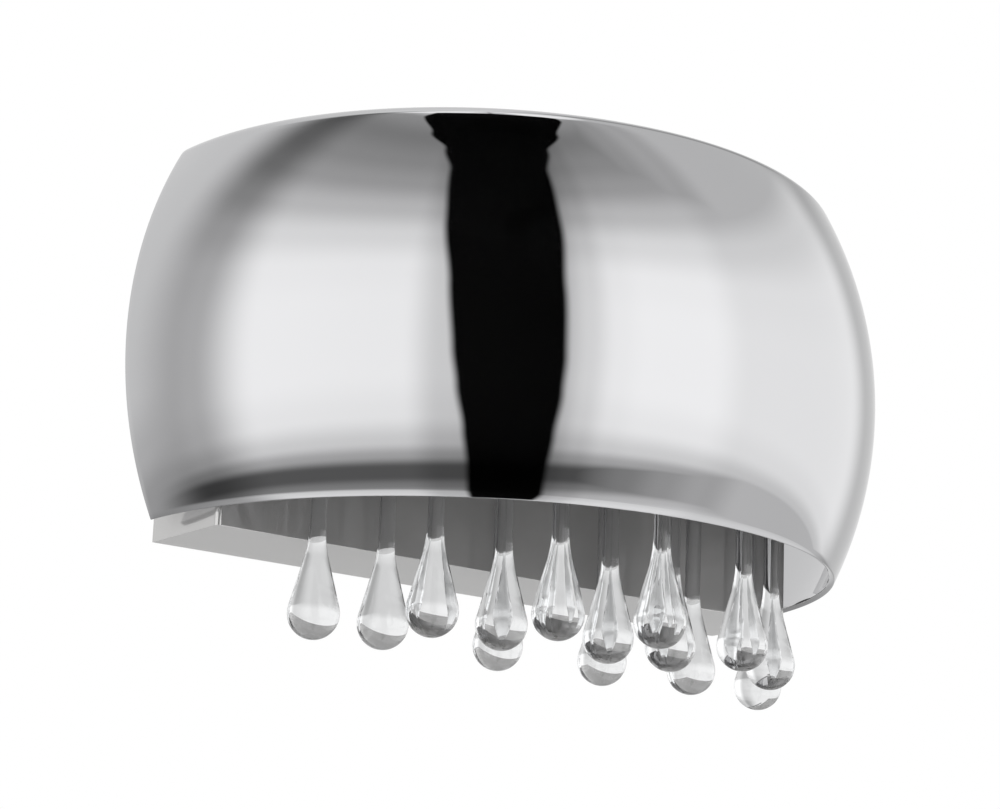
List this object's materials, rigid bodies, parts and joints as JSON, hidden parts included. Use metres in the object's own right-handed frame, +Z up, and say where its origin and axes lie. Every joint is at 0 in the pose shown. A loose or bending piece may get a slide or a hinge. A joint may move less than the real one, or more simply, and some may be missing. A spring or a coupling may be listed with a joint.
{
  "type": "crystal wall sconce",
  "caption": "Wall light with a half-round mirrored glass shade on a shallow steel pan, capsule lamps, and clear glass drops that swing below the shade.",
  "frame": {"origin": "on the wall plane, midway between the two wall screw holes, which is the middle of the back pan's open back", "axes": "+X along the wall to the viewer's right, +Y into the wall, +Z up; the shade faces -Y"},
  "size_m": [0.4, 0.214, 0.2425],
  "materials": {
    "zinc_steel": "zinc-plated folded steel",
    "soft_rubber": "soft black rubber",
    "polished_pan": "polished chrome-plated folded steel",
    "bright_fixings": "bright nickel-plated steel",
    "block_plastic": "moulded off-white thermoplastic",
    "mirrored_glass": "blown glass with a thin grey mirror coating that lets a little light through",
    "polished_steel": "mirror-polished stainless steel",
    "clear_silicone": "translucent silicone",
    "holder_ceramic": "glazed off-white ceramic",
    "lamp_glass": "clear capsule glass",
    "lead_sheath": "clear-grey heat-resistant sheath",
    "hanging_wire": "bright drawn wire",
    "clear_glass": "clear solid glass, fire-polished"
  },
  "bodies": {
    "fixture": {"wall_bracket": "zinc_steel", "cable_bush": "soft_rubber", "back_pan": "polished_pan", "pan_screws": "bright_fixings", "terminal_block": "block_plastic", "terminal_screws": "bright_fixings", "earth_stud": "bright_fixings", "earth_nut": "bright_fixings", "glass_shade": "mirrored_glass", "shade_post_left": "polished_steel", "shade_post_right": "polished_steel", "post_screws": "bright_fixings", "shade_arm": "polished_steel", "arm_screws": "bright_fixings", "arm_nut": "bright_fixings", "shade_washers": "clear_silicone", "shade_screws": "polished_steel", "drop_plate": "polished_steel", "plate_screws": "bright_fixings", "lampholder_left": "holder_ceramic", "lampholder_middle": "holder_ceramic", "lampholder_right": "holder_ceramic", "holder_screws": "bright_fixings", "lamp_left": "lamp_glass", "lamp_middle": "lamp_glass", "lamp_right": "lamp_glass", "lead_bushes": "soft_rubber", "lead_left": "lead_sheath", "lead_middle": "lead_sheath", "lead_right": "lead_sheath", "drop_hooks": "hanging_wire"},
    "ring_01_body": {"ring_01": "hanging_wire"},
    "drop_01_body": {"drop_01": "clear_glass"},
    "ring_02_body": {"ring_02": "hanging_wire"},
    "drop_02_body": {"drop_02": "clear_glass"},
    "ring_03_body": {"ring_03": "hanging_wire"},
    "drop_03_body": {"drop_03": "clear_glass"},
    "ring_04_body": {"ring_04": "hanging_wire"},
    "drop_04_body": {"drop_04": "clear_glass"},
    "ring_05_body": {"ring_05": "hanging_wire"},
    "drop_05_body": {"drop_05": "clear_glass"},
    "ring_06_body": {"ring_06": "hanging_wire"},
    "drop_06_body": {"drop_06": "clear_glass"},
    "ring_07_body": {"ring_07": "hanging_wire"},
    "drop_07_body": {"drop_07": "clear_glass"},
    "ring_08_body": {"ring_08": "hanging_wire"},
    "drop_08_body": {"drop_08": "clear_glass"},
    "ring_09_body": {"ring_09": "hanging_wire"},
    "drop_09_body": {"drop_09": "clear_glass"},
    "ring_10_body": {"ring_10": "hanging_wire"},
    "drop_10_body": {"drop_10": "clear_glass"},
    "ring_11_body": {"ring_11": "hanging_wire"},
    "drop_11_body": {"drop_11": "clear_glass"},
    "ring_12_body": {"ring_12": "hanging_wire"},
    "drop_12_body": {"drop_12": "clear_glass"},
    "ring_13_body": {"ring_13": "hanging_wire"},
    "drop_13_body": {"drop_13": "clear_glass"},
    "ring_14_body": {"ring_14": "hanging_wire"},
    "drop_14_body": {"drop_14": "clear_glass"}
  },
  "joints": [
    {"name": "ring_01_sideways", "type": "hinge", "parent": "fixture", "child": "ring_01_body", "pos_m": [-0.1285, -0.076, 0.0071], "axis": [0, 1, 0], "range_deg": [-5.5, 12]},
    {"name": "drop_01_fore_aft", "type": "hinge", "parent": "ring_01_body", "child": "drop_01_body", "pos_m": [-0.1285, -0.076, -0.0015], "axis": [1, 0, 0], "range_deg": [-12, 8.5]},
    {"name": "ring_02_sideways", "type": "hinge", "parent": "fixture", "child": "ring_02_body", "pos_m": [-0.0955, -0.122, 0.0071], "axis": [0, 1, 0], "range_deg": [-8, 12]},
    {"name": "drop_02_fore_aft", "type": "hinge", "parent": "ring_02_body", "child": "drop_02_body", "pos_m": [-0.0955, -0.122, -0.0015], "axis": [1, 0, 0], "range_deg": [-12, 9.5]},
    {"name": "ring_03_sideways", "type": "hinge", "parent": "fixture", "child": "ring_03_body", "pos_m": [-0.0915, -0.077, 0.0071], "axis": [0, 1, 0], "range_deg": [-12, 5.5]},
    {"name": "drop_03_fore_aft", "type": "hinge", "parent": "ring_03_body", "child": "drop_03_body", "pos_m": [-0.0915, -0.077, -0.0015], "axis": [1, 0, 0], "range_deg": [-9.5, 9.5]},
    {"name": "ring_04_sideways", "type": "hinge", "parent": "fixture", "child": "ring_04_body", "pos_m": [-0.0535, -0.117, 0.0071], "axis": [0, 1, 0], "range_deg": [-12, 8]},
    {"name": "drop_04_fore_aft", "type": "hinge", "parent": "ring_04_body", "child": "drop_04_body", "pos_m": [-0.0535, -0.117, -0.0015], "axis": [1, 0, 0], "range_deg": [-7.5, 12]},
    {"name": "ring_05_sideways", "type": "hinge", "parent": "fixture", "child": "ring_05_body", "pos_m": [-0.0525, -0.158, 0.0071], "axis": [0, 1, 0], "range_deg": [-12, 12]},
    {"name": "drop_05_fore_aft", "type": "hinge", "parent": "ring_05_body", "child": "drop_05_body", "pos_m": [-0.0525, -0.158, -0.0015], "axis": [1, 0, 0], "range_deg": [-9.5, 7.5]},
    {"name": "ring_06_sideways", "type": "hinge", "parent": "fixture", "child": "ring_06_body", "pos_m": [-0.0195, -0.068, 0.0071], "axis": [0, 1, 0], "range_deg": [-12, 12]},
    {"name": "drop_06_fore_aft", "type": "hinge", "parent": "ring_06_body", "child": "drop_06_body", "pos_m": [-0.0195, -0.068, -0.0015], "axis": [1, 0, 0], "range_deg": [-12, 3.5]},
    {"name": "ring_07_sideways", "type": "hinge", "parent": "fixture", "child": "ring_07_body", "pos_m": [-0.009, -0.176, 0.0071], "axis": [0, 1, 0], "range_deg": [-12, 12]},
    {"name": "drop_07_fore_aft", "type": "hinge", "parent": "ring_07_body", "child": "drop_07_body", "pos_m": [-0.009, -0.176, -0.0015], "axis": [1, 0, 0], "range_deg": [-6, 12]},
    {"name": "ring_08_sideways", "type": "hinge", "parent": "fixture", "child": "ring_08_body", "pos_m": [0.002, -0.125, 0.0071], "axis": [0, 1, 0], "range_deg": [-4, 12]},
    {"name": "drop_08_fore_aft", "type": "hinge", "parent": "ring_08_body", "child": "drop_08_body", "pos_m": [0.002, -0.125, -0.0015], "axis": [1, 0, 0], "range_deg": [-12, 12]},
    {"name": "ring_09_sideways", "type": "hinge", "parent": "fixture", "child": "ring_09_body", "pos_m": [0.036, -0.129, 0.0071], "axis": [0, 1, 0], "range_deg": [-12, 4]},
    {"name": "drop_09_fore_aft", "type": "hinge", "parent": "ring_09_body", "child": "drop_09_body", "pos_m": [0.036, -0.129, -0.0015], "axis": [1, 0, 0], "range_deg": [-6.5, 12]},
    {"name": "ring_10_sideways", "type": "hinge", "parent": "fixture", "child": "ring_10_body", "pos_m": [0.042, -0.07, 0.0071], "axis": [0, 1, 0], "range_deg": [-11, 12]},
    {"name": "drop_10_fore_aft", "type": "hinge", "parent": "ring_10_body", "child": "drop_10_body", "pos_m": [0.042, -0.07, -0.0015], "axis": [1, 0, 0], "range_deg": [-12, 4.5]},
    {"name": "ring_11_sideways", "type": "hinge", "parent": "fixture", "child": "ring_11_body", "pos_m": [0.057, -0.156, 0.0071], "axis": [0, 1, 0], "range_deg": [-12, 12]},
    {"name": "drop_11_fore_aft", "type": "hinge", "parent": "ring_11_body", "child": "drop_11_body", "pos_m": [0.057, -0.156, -0.0015], "axis": [1, 0, 0], "range_deg": [-9.5, 6.5]},
    {"name": "ring_12_sideways", "type": "hinge", "parent": "fixture", "child": "ring_12_body", "pos_m": [0.089, -0.081, 0.0071], "axis": [0, 1, 0], "range_deg": [-12, 11]},
    {"name": "drop_12_fore_aft", "type": "hinge", "parent": "ring_12_body", "child": "drop_12_body", "pos_m": [0.089, -0.081, -0.0015], "axis": [1, 0, 0], "range_deg": [-10.5, 12]},
    {"name": "ring_13_sideways", "type": "hinge", "parent": "fixture", "child": "ring_13_body", "pos_m": [0.1035, -0.123, 0.0071], "axis": [0, 1, 0], "range_deg": [-9.5, 12]},
    {"name": "drop_13_fore_aft", "type": "hinge", "parent": "ring_13_body", "child": "drop_13_body", "pos_m": [0.1035, -0.123, -0.0015], "axis": [1, 0, 0], "range_deg": [-12, 10.5]},
    {"name": "ring_14_sideways", "type": "hinge", "parent": "fixture", "child": "ring_14_body", "pos_m": [0.144, -0.068, 0.0071], "axis": [0, 1, 0], "range_deg": [-9, 12]},
    {"name": "drop_14_fore_aft", "type": "hinge", "parent": "ring_14_body", "child": "drop_14_body", "pos_m": [0.144, -0.068, -0.0015], "axis": [1, 0, 0], "range_deg": [-12, 3.5]}
  ]
}
